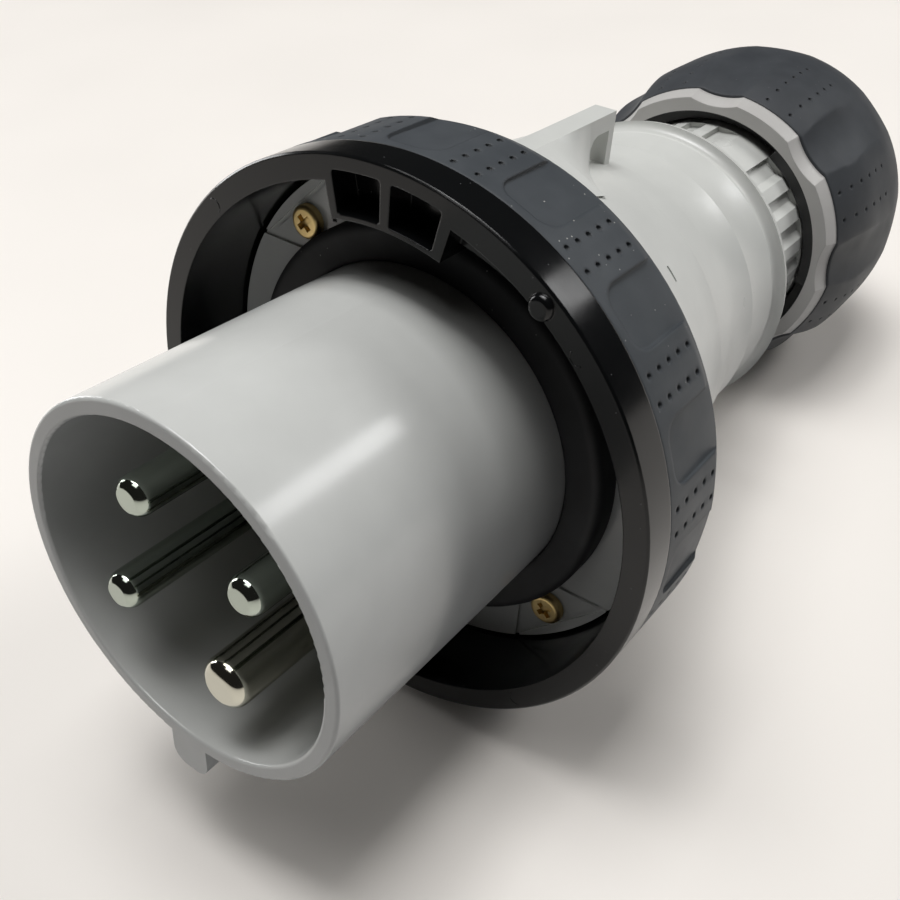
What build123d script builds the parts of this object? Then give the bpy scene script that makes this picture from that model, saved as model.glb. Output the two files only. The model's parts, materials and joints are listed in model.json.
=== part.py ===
from build123d import *
import math
import os

os.makedirs("parts", exist_ok=True)

# A 32 A industrial plug with three line pins, an earth pin and a bayonet coupling ring.
# Every piece is modelled along the plug's own axis: Z runs from the rim of the mouth (0) to the
# cable end, and Y points at the lug. Clock angles are degrees clockwise from the lug, as seen by
# someone who looks into the mouth. At the end the plug is laid down on its grip and its gland nut.

# Gaps between pieces
SLIP = 0.15
RUN_GAP = 0.4
THREAD_GAP = 0.35
SKIN_GAP = 0.05

# Mouth tube, its key and the gasket round its root
MOUTH_RADIUS = 26.5
MOUTH_DRAFT = 0.3
SHROUD_RADIUS = MOUTH_RADIUS + 2.5
SHROUD_DRAFT = 0.6
RIM_ROUND = 0.5
KEY_CLOCK = 180.0
KEY_WIDTH = 7.0
KEY_TIP = SHROUD_RADIUS + 5.6
KEY_ROUND = 2.6
GASKET_FACE = 51.5
GASKET_RADIUS = SHROUD_RADIUS + 5.5
GASKET_ROUND = 1.6
SEAL_SECTION = 1.8

# Screws that hold the flange to the housing, and the grooves round their lands
FLANGE_HEAD = 5.8
FLANGE_HEAD_HEIGHT = 1.6
FLANGE_SCREW = 4.0
FLANGE_SCREW_CIRCLE = GASKET_RADIUS + FLANGE_HEAD / 2 + 0.1
FLANGE_SCREW_CLOCKS = (-45.0, 135.0)
FLANGE_SCREW_LENGTH = 16.0
DRIVE_RECESS = 3.0
DRIVE_WIDTH = 1.0
DRIVE_DEPTH = 1.0
LAND_GROOVE = 0.85
LAND_GROOVE_DEPTH = 0.5
LAND_LEAN = 45.0
LAND_CORNER = 10.4
LAND_TOP = FLANGE_SCREW_CIRCLE + 3.0

# Flange and spigot behind the mouth tube
FLANGE_FACE = 56.3
FLANGE_THICKNESS = 4.2
JOURNAL_RADIUS = FLANGE_SCREW_CIRCLE + FLANGE_SCREW / 2 + 1.3
FLANGE_RADIUS = JOURNAL_RADIUS + 1.8
SPIGOT_RADIUS = FLANGE_SCREW_CIRCLE - FLANGE_SCREW / 2 - 2.9
SPIGOT_LENGTH = 6.0

# Contacts and the insert that holds them
PIN_CIRCLE = 14.4
LINE_CLOCKS = (-30.0, 60.0, -120.0)
EARTH_CLOCK = 150.0
LINE_PIN = 6.0
EARTH_PIN = 8.0
PIN_SETBACK = 0.5
PIN_DOME = 2.0
PIN_DOME_RISE = 0.34
PIN_FLAT = 0.62
PIN_ROOT_EXTRA = 1.0
COLLAR_EXTRA = 6.0
COLLAR_THICKNESS = 4.0
BARREL_EXTRA = 4.0
BARREL_LENGTH = 23.5
WIRE_BORE = 6.2
WIRE_DEPTH = 16.0
TERMINAL_SCREW = 5.0
TERMINAL_SCREW_SETBACK = 8.0
TERMINAL_HEAD = 8.0
TERMINAL_HEAD_HEIGHT = 3.2
SCREW_SLOT = 1.2
CARRIER_FACE = 48.0
CARRIER_STEP = 58.0
CARRIER_SEAT = SPIGOT_RADIUS - 4.4
CARRIER_BACK = 64.5
RETAINER_THICKNESS = 3.0
RETAINER_RADIUS = SPIGOT_RADIUS - 0.1
RETAINER_SCREW_CIRCLE = (SPIGOT_RADIUS + CARRIER_SEAT) / 2
RETAINER_SCREW_CLOCKS = (15.0, 195.0)
RETAINER_SCREW = 2.9
RETAINER_HEAD = 4.4
RETAINER_HEAD_HEIGHT = 2.0
RETAINER_SCREW_LENGTH = 8.0

# Coupling ring
RING_FACE = 41.5
RING_BORE = FLANGE_RADIUS + 0.6
RING_MOUTH = RING_BORE + 0.5
RING_RADIUS = RING_MOUTH + 3.9
RING_BEVEL = 0.3
RING_BAND = 6.3
RING_BACK = 65.0
LIP_THICKNESS = 4.1
LEDGE_RADIUS = GASKET_RADIUS + 3.8
LEDGE_THICKNESS = 6.0
LEDGE_CLOCKS = (-13.3, 15.3)
POCKET_CLOCKS = ((-11.4, -0.3), (1.9, 12.9))
POCKET_INNER = LEDGE_RADIUS + 0.7
POCKET_OUTER = RING_RADIUS - 2.3
POCKET_DEPTH = 4.7
POCKET_ROUND = 0.6
RAMP_INNER = LEDGE_RADIUS + 1.7
RAMP_END = 70.0
RAMP_RISE = 3.0
RAMP_THICKNESS = 2.2
NUB_CLOCK = 35.8
NUB_CIRCLE = RING_MOUTH + 1.2
NUB_DIAMETER = 3.8
NUB_HEIGHT = 0.9
NUB_ROOT = 2.5

# Soft grip on the coupling ring
GRIP_THICKNESS = 1.8
PAD_COUNT = 15
FIRST_PAD = 9.1
GRIP_EDGE = 3.2
GRIP_EDGE_DROP = 1.3
SCOOP_START = 1.8
SCOOP_DEPTH = 0.7
SCOOP_FALL = 0.3
SCOOP_ROUND = 3.3

# Housing
SHOULDER_RADIUS = JOURNAL_RADIUS + 0.4
SHOULDER_LENGTH = 2.6
CONE_END = 97.0
CONE_END_RADIUS = 32.4
BAND_END = 104.5
BAND_END_RADIUS = 30.9
COVE_STARTS = (105.8, 117.4)
COVE_START_RADII = (30.0, 28.8)
COVE_ENDS = (116.6, 127.8)
COVE_END_RADII = (29.7, 28.9)
COVE_SAG = 0.5
BEAD_PEAK = 130.3
BEAD_RADIUS = 30.55
BEAD_EDGE = 0.4
BEAD_END = 131.9
WALL = 3.0
SPIGOT_ROOM = 83.0

# Neck of the housing, with its ratchet teeth and its thread
NECK_RADIUS = 23.4
NECK_BORE = NECK_RADIUS - 2.6
THREAD_RADIUS = NECK_RADIUS + 1.0
NECK_END = 168.0
GROMMET_STOP = 148.0
GROMMET_STOP_WIDTH = 2.4
GROMMET_STOP_THICKNESS = 3.0
TOOTH_RADIUS = NECK_RADIUS + 1.1
TOOTH_COUNT = 21
FIRST_TOOTH = 49.1
LAST_TOOTH = 360.7
TOOTH_TOP = 6.2
TOOTH_RAMP = 4.0
TOOTH_START = 134.0
TOOTH_END = 154.5
WIDE_TOOTH = 30.3
WIDE_TOOTH_TOP = 17.7
WIDE_TOOTH_RAMP = 9.9

# Slot in the housing's cone
SLIT_CLOCK = 45.0
SLIT_PLACE = 81.0
SLIT_LENGTH = 2.8
SLIT_WIDTH = 0.8
SLIT_BOTTOM = SHOULDER_RADIUS - 5.6

# Lug on top of the housing: half widths and heights of its foot, from front to back
LUG_TOP = SHOULDER_RADIUS - 0.4
LUG_WIDTH = 4.2
LUG_PLATE = 93.4
LUG_END = LUG_PLATE + 8.6
LUG_MIDDLE = 80.0
LUG_FEET = ((12.0, 1.8), (13.5, 5.2), (3.2, 10.0))
EYE_SETBACK = 1.7
EYE_LENGTH = 5.8
EYE_TOP = LUG_TOP - 3.0
EYE_BOTTOM = CONE_END_RADIUS - WALL
EYE_ROUND = 2.4

# Cable gland: threaded nut
NUT_FACE = 153.2
NUT_FLANGE = 3.4
NUT_MOUTH = NECK_RADIUS + 3.7
NUT_MOUTH_DEPTH = 3.8
NUT_FACE_RADIUS = NUT_MOUTH + 2.9
NUT_FLANGE_RADIUS = NUT_FACE_RADIUS + 1.1
PAWL_CLOCKS = ((31.0, 97.0), (211.0, 277.0))
PAWL_RADIUS = NECK_RADIUS + 1.7
NUT_THREAD_LENGTH = 19.0
NUT_ROOM = NECK_RADIUS + 3.0
HUB_RADIUS = NUT_ROOM + 3.2
HUB_SHOULDER = 188.0
HUB_END = 207.0
HUB_END_RADIUS = HUB_RADIUS - 11.1
CABLE_HOLE = 12.6
THRUST_SEAT = 193.4

# Cable gland: domed cover with flutes
CAP_RADIUS = HUB_RADIUS + 5.0
CAP_FRONT_RADIUS = CAP_RADIUS - 3.3
CAP_BULGE = 172.0
CAP_BELLY = 0.25
DOME_CENTRE = 180.7
DOME_SLANT = 34.0
CAP_HOLE = CABLE_HOLE + 0.6
LOBE_COUNT = 8
FIRST_LOBE = -3.0
FLUTE_RADIUS = 16.8
FLUTE_FRONT = (158.0, CAP_RADIUS - 3.8)
FLUTE_MIDDLE = (176.0, CAP_RADIUS - 1.15)
FLUTE_REAR = (195.0, CAP_RADIUS - 4.2)
FLANGE_FLUTE_EXTRA = 0.5

# Cable gland: clamping pieces
THRUST_THICKNESS = 3.2
THRUST_HOLE = CABLE_HOLE + 1.4
CAGE_FLANGE_RADIUS = NECK_RADIUS + 0.2
CAGE_FLANGE = 2.5
CAGE_FOOT_RADIUS = 18.2
CAGE_TIP_RADIUS = 15.6
CAGE_WALL = 2.2
CAGE_END = 182.6
CAGE_SLOTS = 8
CAGE_SLOT = 2.0
GROMMET_BORE = 8.0
GROMMET_GROOVE = 1.6

# How the plug lies: a pad of the ring is down, and so is the flat between two grip edges of the nut
REST_ROLL = 3.0
NUT_CONTACT = 184.5

# Places that follow from the sizes above
FLANGE_BACK = FLANGE_FACE + FLANGE_THICKNESS
SPIGOT_END = FLANGE_BACK + SPIGOT_LENGTH
SHROUD_ROOT = SHROUD_RADIUS - SHROUD_DRAFT
MOUTH_ROOT = MOUTH_RADIUS - MOUTH_DRAFT
RETAINER_BACK = SPIGOT_END + RETAINER_THICKNESS
COLLAR_FACE = CARRIER_BACK - COLLAR_THICKNESS
BARREL_END = CARRIER_BACK + BARREL_LENGTH
GRIP_START = RING_FACE + RING_BAND
GRIP_BORE = RING_RADIUS - GRIP_THICKNESS
LIP_BORE = JOURNAL_RADIUS + RUN_GAP
LIP_FACE = RING_BACK - LIP_THICKNESS
SHOULDER = RING_BACK + RUN_GAP
NUT_BACK = NUT_FACE + NUT_FLANGE
THREAD_BORE = THREAD_RADIUS + THREAD_GAP
TOOTH_PITCH = (LAST_TOOTH - FIRST_TOOTH) / (TOOTH_COUNT - 1)
RING_CONTACT = RING_BACK - GRIP_EDGE
THREAD_BORE_START = NUT_FACE + NUT_MOUTH_DEPTH
SEAL_CIRCLE = SPIGOT_RADIUS + SEAL_SECTION / 2 + SKIN_GAP
SEAL_PLACE = FLANGE_BACK + SEAL_SECTION / 2 + SKIN_GAP
SEAL_ROOM = SEAL_CIRCLE + SEAL_SECTION / 2 + SKIN_GAP
SEAL_ROOM_END = FLANGE_BACK + SEAL_SECTION + 2 * SKIN_GAP


def turned(*outline):
    """A closed outline of (radius, height) points, turned about the plug's axis."""
    points = [(0, radius, height) for radius, height in outline]
    return revolve(make_face(Polyline(*points, close=True)), Axis.Z)


def sector(inner, outer, low, high, start, end):
    """The part of a ring between two radii, two heights and two clock angles."""
    corners = [(0, inner, low), (0, outer, low), (0, outer, high), (0, inner, high)]
    face = make_face(Polyline(*corners, close=True))
    return Rot(0, 0, start) * revolve(face, Axis.Z, end - start)


def rod(radius, low, high, circle=0.0, clock=0.0):
    """A cylinder along the plug's axis, at a clock angle on a circle."""
    return Rot(0, 0, clock) * Pos(0, circle, (low + high) / 2) * Cylinder(radius, high - low)


def spoke(radius, inner, outer, height, clock):
    """A cylinder that points straight out from the plug's axis."""
    place = Rot(0, 0, clock) * Pos(0, (inner + outer) / 2, height) * Rot(90, 0, 0)
    return place * Cylinder(radius, outer - inner)


def edges_at(shape, height):
    """The round edges of a shape at one height."""
    return shape.edges().filter_by(GeomType.CIRCLE).filter_by_position(Axis.Z, height - 0.01, height + 0.01)


def shroud():
    """Mouth tube with its key, the flange that traps the coupling ring, and the spigot behind it."""
    body = turned(
        (MOUTH_RADIUS, 0),
        (SHROUD_RADIUS, 0),
        (SHROUD_ROOT, GASKET_FACE),
        (SHROUD_ROOT, FLANGE_FACE),
        (FLANGE_RADIUS, FLANGE_FACE),
        (FLANGE_RADIUS, FLANGE_BACK),
        (SPIGOT_RADIUS, FLANGE_BACK),
        (SPIGOT_RADIUS, SPIGOT_END),
        (CARRIER_SEAT, SPIGOT_END),
        (CARRIER_SEAT, CARRIER_STEP),
        (MOUTH_ROOT, CARRIER_STEP),
        (MOUTH_ROOT, CARRIER_FACE),
    )
    body = fillet(edges_at(body, 0), RIM_ROUND)
    key_foot = (MOUTH_RADIUS + SHROUD_ROOT) / 2
    outline = Pos(0, (key_foot + KEY_TIP) / 2) * Rectangle(KEY_WIDTH, KEY_TIP - key_foot)
    outline = fillet(outline.vertices().group_by(Axis.Y)[-1], KEY_ROUND)
    body += Rot(0, 0, KEY_CLOCK) * extrude(outline, GASKET_FACE - SLIP)
    for clock in FLANGE_SCREW_CLOCKS:
        body -= rod(FLANGE_SCREW / 2 + SLIP, FLANGE_FACE, FLANGE_BACK, FLANGE_SCREW_CIRCLE, clock)
        body -= Rot(0, 0, clock) * land_grooves()
    for clock in RETAINER_SCREW_CLOCKS:
        low = RETAINER_BACK - RETAINER_SCREW_LENGTH - SLIP
        body -= rod(RETAINER_SCREW / 2 + SKIN_GAP, low, SPIGOT_END, RETAINER_SCREW_CIRCLE, clock)
    return body


def land_grooves():
    """Cutter for the grooves beside a flange screw: one across, and two that lean away from it."""
    length = 2 * (FLANGE_RADIUS - GASKET_RADIUS)
    grooves = Pos(0, LAND_TOP, FLANGE_FACE) * Box(2 * LAND_CORNER, LAND_GROOVE, 2 * LAND_GROOVE_DEPTH)
    for side in (-1, 1):
        corner = Pos(side * LAND_CORNER, LAND_TOP, FLANGE_FACE)
        grooves += corner * Rot(0, 0, -side * LAND_LEAN) * Box(LAND_GROOVE, length, 2 * LAND_GROOVE_DEPTH)
    return grooves - rod(GASKET_RADIUS - 1, FLANGE_FACE - FLANGE_THICKNESS, FLANGE_BACK)


def face_gasket():
    """Soft ring round the root of the mouth tube, which the socket's rim is pulled against."""
    ring = turned(
        (SHROUD_ROOT + SLIP, GASKET_FACE),
        (GASKET_RADIUS, GASKET_FACE),
        (GASKET_RADIUS, FLANGE_FACE),
        (SHROUD_ROOT + SLIP, FLANGE_FACE),
    )
    outer = edges_at(ring, GASKET_FACE).sort_by(SortBy.RADIUS)[-1]
    return fillet(outer, GASKET_ROUND)


def pins():
    """Each contact's node name, pin diameter and clock angle."""
    named = [(f"line_pin_{number}", LINE_PIN, clock) for number, clock in enumerate(LINE_CLOCKS, 1)]
    return named + [("earth_pin", EARTH_PIN, EARTH_CLOCK)]


def contact(diameter):
    """A turned pin, thicker in its insert, with its collar and a terminal barrel bored for wire and screw."""
    radius = diameter / 2
    root = radius + PIN_ROOT_EXTRA / 2
    collar = radius + COLLAR_EXTRA / 2
    barrel = radius + BARREL_EXTRA / 2
    flat = radius * PIN_FLAT
    dome_end = PIN_SETBACK + PIN_DOME
    dome = ThreePointArc(
        (0, flat, PIN_SETBACK),
        (0, (flat + 2 * radius) / 3, PIN_SETBACK + PIN_DOME * PIN_DOME_RISE),
        (0, radius, dome_end),
    )
    body = Polyline(
        (0, radius, dome_end),
        (0, radius, CARRIER_FACE),
        (0, root, CARRIER_FACE),
        (0, root, COLLAR_FACE),
        (0, collar, COLLAR_FACE),
        (0, collar, CARRIER_BACK),
        (0, barrel, CARRIER_BACK),
        (0, barrel, BARREL_END),
        (0, 0, BARREL_END),
        (0, 0, PIN_SETBACK),
        (0, flat, PIN_SETBACK),
    )
    pin = revolve(make_face(Wire([dome] + body.edges())), Axis.Z)
    pin -= rod(WIRE_BORE / 2, BARREL_END - WIRE_DEPTH, BARREL_END)
    pin -= spoke(TERMINAL_SCREW / 2 + SKIN_GAP, 0, 2 * barrel, BARREL_END - TERMINAL_SCREW_SETBACK, 0)
    return pin


def contact_in_place(diameter, clock):
    """A contact on the pin circle, with its terminal screw's hole facing outwards."""
    return Rot(0, 0, clock) * Pos(0, PIN_CIRCLE, 0) * contact(diameter)


def terminal_screws():
    """Four slotted screws, one in each terminal barrel, with their heads outwards."""
    height = BARREL_END - TERMINAL_SCREW_SETBACK
    screws = []
    for name, diameter, clock in pins():
        seat = PIN_CIRCLE + diameter / 2 + BARREL_EXTRA / 2
        top = seat + TERMINAL_HEAD_HEIGHT
        tip = PIN_CIRCLE + WIRE_BORE / 4
        screw = spoke(TERMINAL_SCREW / 2, tip, seat, height, clock)
        screw += spoke(TERMINAL_HEAD / 2, seat, top, height, clock)
        slot = Box(SCREW_SLOT, TERMINAL_HEAD_HEIGHT, 2 * TERMINAL_HEAD)
        screw -= Rot(0, 0, clock) * Pos(0, top, height) * slot
        screws.append(screw)
    return screws


def contact_carrier():
    """Insert that fills the root of the mouth and carries the pins by their collars."""
    body = turned(
        (0, CARRIER_FACE),
        (MOUTH_ROOT - SLIP, CARRIER_FACE),
        (MOUTH_ROOT - SLIP, CARRIER_STEP),
        (CARRIER_SEAT - SLIP, CARRIER_STEP),
        (CARRIER_SEAT - SLIP, CARRIER_BACK),
        (0, CARRIER_BACK),
    )
    for name, diameter, clock in pins():
        root = (diameter + PIN_ROOT_EXTRA) / 2
        collar = (diameter + COLLAR_EXTRA) / 2
        body -= rod(root + SKIN_GAP, CARRIER_FACE, COLLAR_FACE, PIN_CIRCLE, clock)
        body -= rod(collar + SKIN_GAP, COLLAR_FACE, CARRIER_BACK, PIN_CIRCLE, clock)
    return body


def contact_retainer():
    """Plate that closes the insert from behind and keeps the collars in their seats."""
    plate = turned(
        (0, CARRIER_BACK),
        (CARRIER_SEAT - SLIP, CARRIER_BACK),
        (CARRIER_SEAT - SLIP, SPIGOT_END),
        (RETAINER_RADIUS, SPIGOT_END),
        (RETAINER_RADIUS, RETAINER_BACK),
        (0, RETAINER_BACK),
    )
    for name, diameter, clock in pins():
        barrel = (diameter + BARREL_EXTRA) / 2
        plate -= rod(barrel + SLIP, CARRIER_BACK, RETAINER_BACK, PIN_CIRCLE, clock)
    for clock in RETAINER_SCREW_CLOCKS:
        plate -= rod(RETAINER_SCREW / 2 + SLIP, SPIGOT_END, RETAINER_BACK, RETAINER_SCREW_CIRCLE, clock)
    return plate


def retainer_screws():
    """Two small screws that fasten the retaining plate to the spigot."""
    screws = []
    for clock in RETAINER_SCREW_CLOCKS:
        top = RETAINER_BACK + RETAINER_HEAD_HEIGHT
        tip = RETAINER_BACK - RETAINER_SCREW_LENGTH
        screw = rod(RETAINER_SCREW / 2, tip, RETAINER_BACK, RETAINER_SCREW_CIRCLE, clock)
        head = rod(RETAINER_HEAD / 2, RETAINER_BACK, top, RETAINER_SCREW_CIRCLE, clock)
        slot = Box(RETAINER_HEAD * 2, SCREW_SLOT / 2, RETAINER_HEAD_HEIGHT)
        head -= Rot(0, 0, clock) * Pos(0, RETAINER_SCREW_CIRCLE, top) * slot
        screws.append(screw + head)
    return screws


def flange_screws():
    """Two round-headed screws through the flange into the housing, in the ring's open sectors."""
    screws = []
    for clock in FLANGE_SCREW_CLOCKS:
        top = FLANGE_FACE - FLANGE_HEAD_HEIGHT
        tip = FLANGE_FACE + FLANGE_SCREW_LENGTH
        head = rod(FLANGE_HEAD / 2, top, FLANGE_FACE, FLANGE_SCREW_CIRCLE, clock)
        head = fillet(edges_at(head, top), FLANGE_HEAD_HEIGHT / 2)
        drive = Pos(0, FLANGE_SCREW_CIRCLE, top)
        for turn in (0, 90):
            arm = Box(DRIVE_RECESS, DRIVE_WIDTH, 2 * DRIVE_DEPTH)
            head -= Rot(0, 0, clock) * drive * Rot(0, 0, turn) * arm
        shank = rod(FLANGE_SCREW / 2, FLANGE_FACE, tip, FLANGE_SCREW_CIRCLE, clock)
        screws.append(head + shank)
    return screws


def flange_seal():
    """Round sealing ring in the corner between the flange, its spigot and the housing."""
    return Pos(0, 0, SEAL_PLACE) * Torus(SEAL_CIRCLE, SEAL_SECTION / 2)


def pocket(start, end):
    """Cutter for one blind pocket of the ledge, between two clock angles, with rounded corners."""
    block = sector(POCKET_INNER, POCKET_OUTER, RING_FACE - 1, RING_FACE + POCKET_DEPTH, start, end)
    return fillet(block.edges().filter_by(Axis.Z), POCKET_ROUND)


def bayonet_ledge():
    """One inward ledge of the ring with two blind pockets, and the ramp that runs on inside the ring."""
    start, end = LEDGE_CLOCKS
    back = RING_FACE + LEDGE_THICKNESS
    ledge = sector(LEDGE_RADIUS, RING_MOUTH + 1, RING_FACE, back, start, end)
    middle = (end + RAMP_END) / 2
    half = (RAMP_END - end) / 2 + 1
    reach = RAMP_INNER * math.sin(math.radians(half))
    lean = math.degrees(math.atan2(RAMP_RISE, 2 * reach))
    height = back + (RAMP_RISE - RAMP_THICKNESS) / 2
    slab = Pos(0, 0, height) * Rot(0, lean, 0) * Box(4 * RING_RADIUS, 4 * RING_RADIUS, RAMP_THICKNESS)
    ring = sector(RAMP_INNER, RING_MOUTH + 1, RING_FACE, FLANGE_FACE, -half, half)
    return ledge + Rot(0, 0, middle) * (ring & slab)


def coupling_ring():
    """Bayonet ring: plain band in front, thinner wall under the grip, two ledges and the rear lip."""
    body = turned(
        (RING_MOUTH, RING_FACE),
        (RING_RADIUS - RING_BEVEL, RING_FACE),
        (RING_RADIUS, RING_FACE + RING_BEVEL),
        (RING_RADIUS, GRIP_START),
        (GRIP_BORE, GRIP_START),
        (GRIP_BORE, RING_BACK),
        (LIP_BORE, RING_BACK),
        (LIP_BORE, LIP_FACE),
        (RING_BORE, LIP_FACE),
        (RING_BORE, FLANGE_FACE),
    )
    ledge = bayonet_ledge()
    for turn in (0, 180):
        body += Rot(0, 0, turn) * ledge
        for start, end in POCKET_CLOCKS:
            body -= Rot(0, 0, turn) * pocket(start, end)
        body += nub(NUB_CLOCK + turn)
    return body


def nub(clock):
    """Small round stud that the socket's bayonet lug snaps over."""
    stud = rod(NUB_DIAMETER / 2, RING_FACE - NUB_HEIGHT, RING_FACE + NUB_ROOT, NUB_CIRCLE, clock)
    return fillet(edges_at(stud, RING_FACE - NUB_HEIGHT), NUB_HEIGHT)


def ring_grip():
    """Soft sleeve on the ring: pads, and between them square scoops that deepen towards the back."""
    sleeve = turned(
        (GRIP_BORE + SKIN_GAP, GRIP_START),
        (RING_RADIUS, GRIP_START),
        (RING_RADIUS, RING_CONTACT),
        (RING_RADIUS - GRIP_EDGE_DROP, RING_BACK),
        (GRIP_BORE + SKIN_GAP, RING_BACK),
    )
    step = 360 / PAD_COUNT
    front = GRIP_START + SCOOP_START
    run = RING_BACK - front
    width = 2 * RING_RADIUS * math.sin(math.radians(step / 4))
    floor = Pos(0, -run) * Rectangle(width, 2 * run)
    floor = fillet(floor.vertices().group_by(Axis.Y)[-1], SCOOP_ROUND)
    level = Plane(origin=(0, 0, 0), x_dir=(1, 0, 0), z_dir=(0, 1, 0))
    lean = math.degrees(math.atan2(SCOOP_FALL, run))
    tool = Pos(0, RING_RADIUS - SCOOP_DEPTH, front) * Rot(lean, 0, 0) * extrude(level * floor, RING_RADIUS)
    for index in range(PAD_COUNT):
        sleeve -= Rot(0, 0, FIRST_PAD + (index + 0.5) * step) * tool
    return sleeve


def housing_outline():
    """The housing's outside in section: shoulder, cone, band, two coves, bead, neck and thread."""
    lines = [
        Line((0, JOURNAL_RADIUS, FLANGE_BACK), (0, JOURNAL_RADIUS, SHOULDER)),
        Line((0, JOURNAL_RADIUS, SHOULDER), (0, SHOULDER_RADIUS, SHOULDER)),
        Line((0, SHOULDER_RADIUS, SHOULDER), (0, SHOULDER_RADIUS, SHOULDER + SHOULDER_LENGTH)),
        Line((0, SHOULDER_RADIUS, SHOULDER + SHOULDER_LENGTH), (0, CONE_END_RADIUS, CONE_END)),
        Line((0, CONE_END_RADIUS, CONE_END), (0, BAND_END_RADIUS, BAND_END)),
    ]
    radius, height = BAND_END_RADIUS, BAND_END
    for start, start_radius, end, end_radius in zip(COVE_STARTS, COVE_START_RADII, COVE_ENDS, COVE_END_RADII):
        middle = ((start_radius + end_radius) / 2 - COVE_SAG, (start + end) / 2)
        lines.append(Line((0, radius, height), (0, start_radius, start)))
        lines.append(ThreePointArc((0, start_radius, start), (0, *middle), (0, end_radius, end)))
        radius, height = end_radius, end
    rise = ((radius + BEAD_RADIUS) / 2 - COVE_SAG, (height + BEAD_PEAK) / 2 + COVE_SAG)
    lines.append(ThreePointArc((0, radius, height), (0, *rise), (0, BEAD_RADIUS, BEAD_PEAK)))
    lines.append(Line((0, BEAD_RADIUS, BEAD_PEAK), (0, BEAD_RADIUS - BEAD_EDGE, BEAD_END)))
    lines += Polyline(
        (0, BEAD_RADIUS - BEAD_EDGE, BEAD_END),
        (0, NECK_RADIUS, BEAD_END),
        (0, NECK_RADIUS, TOOTH_END),
        (0, THREAD_RADIUS, TOOTH_END),
        (0, THREAD_RADIUS, NECK_END),
        (0, NECK_BORE, NECK_END),
        (0, NECK_BORE, GROMMET_STOP),
        (0, NECK_BORE - GROMMET_STOP_WIDTH, GROMMET_STOP),
        (0, NECK_BORE - GROMMET_STOP_WIDTH, GROMMET_STOP - GROMMET_STOP_THICKNESS),
        (0, NECK_BORE, GROMMET_STOP - GROMMET_STOP_THICKNESS - GROMMET_STOP_WIDTH),
        (0, NECK_BORE, BEAD_END - WALL),
        (0, COVE_END_RADII[1] - WALL, COVE_ENDS[1] - WALL),
        (0, CONE_END_RADIUS - WALL, CONE_END),
        (0, SPIGOT_RADIUS + SLIP, SPIGOT_ROOM),
        (0, SPIGOT_RADIUS + SLIP, SEAL_ROOM_END),
        (0, SEAL_ROOM, SEAL_ROOM_END),
        (0, SEAL_ROOM, FLANGE_BACK),
        (0, JOURNAL_RADIUS, FLANGE_BACK),
    ).edges()
    return make_face(Wire(lines))


def lug():
    """Raised ear behind the ring: a hood that narrows to a flat plate, which has an eye through it."""
    hood = []
    for height, (half, drop) in zip((SHOULDER, LUG_MIDDLE, LUG_PLATE), LUG_FEET):
        foot = LUG_TOP - drop
        corners = [(-half, foot), (half, foot), (LUG_WIDTH / 2, LUG_TOP), (-LUG_WIDTH / 2, LUG_TOP)]
        hood.append(make_face(Polyline(*[(x, y, height) for x, y in corners], close=True)))
    body = loft(hood, ruled=True)
    plate = Box(LUG_WIDTH, LUG_TOP - foot, LUG_END - LUG_PLATE)
    body += Pos(0, (LUG_TOP + foot) / 2, (LUG_END + LUG_PLATE) / 2) * plate
    eye = Rectangle(EYE_LENGTH, EYE_TOP - EYE_BOTTOM)
    eye = fillet(eye.vertices().group_by(Axis.Y)[-1].sort_by(Axis.X)[0], EYE_ROUND)
    side = Plane(origin=(0, 0, 0), x_dir=(0, 0, 1), z_dir=(-1, 0, 0))
    place = Pos(LUG_END - EYE_SETBACK - EYE_LENGTH / 2, (EYE_TOP + EYE_BOTTOM) / 2)
    return body - extrude(side * place * eye, 2 * LUG_WIDTH, both=True)


def ratchet_tooth(end, top, ramp):
    """One raised tooth of the neck: a ramp, a round top and a steep face at a clock angle."""
    root = NECK_RADIUS - 1
    tooth = sector(root, TOOTH_RADIUS, TOOTH_START, TOOTH_END, end - top, end)
    first, last = math.radians(end - top - ramp), math.radians(end - top)
    corners = [(root, last), (TOOTH_RADIUS, last), (NECK_RADIUS, first), (root, first)]
    points = [(-radius * math.sin(angle), radius * math.cos(angle), TOOTH_START) for radius, angle in corners]
    ramp_face = make_face(Polyline(*points, close=True))
    return tooth + extrude(ramp_face, TOOTH_END - TOOTH_START, dir=(0, 0, 1))


def housing():
    """Rear shell: journal for the ring, tapering body with coves and bead, lug, ratchet neck and thread."""
    body = revolve(housing_outline(), Axis.Z) + lug()
    body += ratchet_tooth(WIDE_TOOTH, WIDE_TOOTH_TOP, WIDE_TOOTH_RAMP)
    for index in range(TOOTH_COUNT):
        body += ratchet_tooth(FIRST_TOOTH + index * TOOTH_PITCH, TOOTH_TOP, TOOTH_RAMP)
    for clock in FLANGE_SCREW_CLOCKS:
        tip = FLANGE_FACE + FLANGE_SCREW_LENGTH + SLIP
        body -= rod(FLANGE_SCREW / 2 + SKIN_GAP, FLANGE_BACK, tip, FLANGE_SCREW_CIRCLE, clock)
    slit = Box(SLIT_LENGTH, 2 * (SHOULDER_RADIUS - SLIT_BOTTOM), SLIT_WIDTH)
    return body - Rot(0, 0, SLIT_CLOCK) * Pos(0, SHOULDER_RADIUS, SLIT_PLACE) * slit


def flute_path():
    """Height and radius of the centre of the arc that the flutes' bottom follows, and the arc's radius."""
    (z1, r1), (z2, r2), (z3, r3) = FLUTE_FRONT, FLUTE_MIDDLE, FLUTE_REAR
    slope_a, slope_b = (r2 - r1) / (z2 - z1), (r3 - r2) / (z3 - z2)
    height = slope_a * slope_b * (r1 - r3) + slope_b * (z1 + z2) - slope_a * (z2 + z3)
    height /= 2 * (slope_b - slope_a)
    radius = (r1 + r2) / 2 - (height - (z1 + z2) / 2) / slope_a
    return height, radius, math.hypot(z2 - height, r2 - radius)


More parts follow.
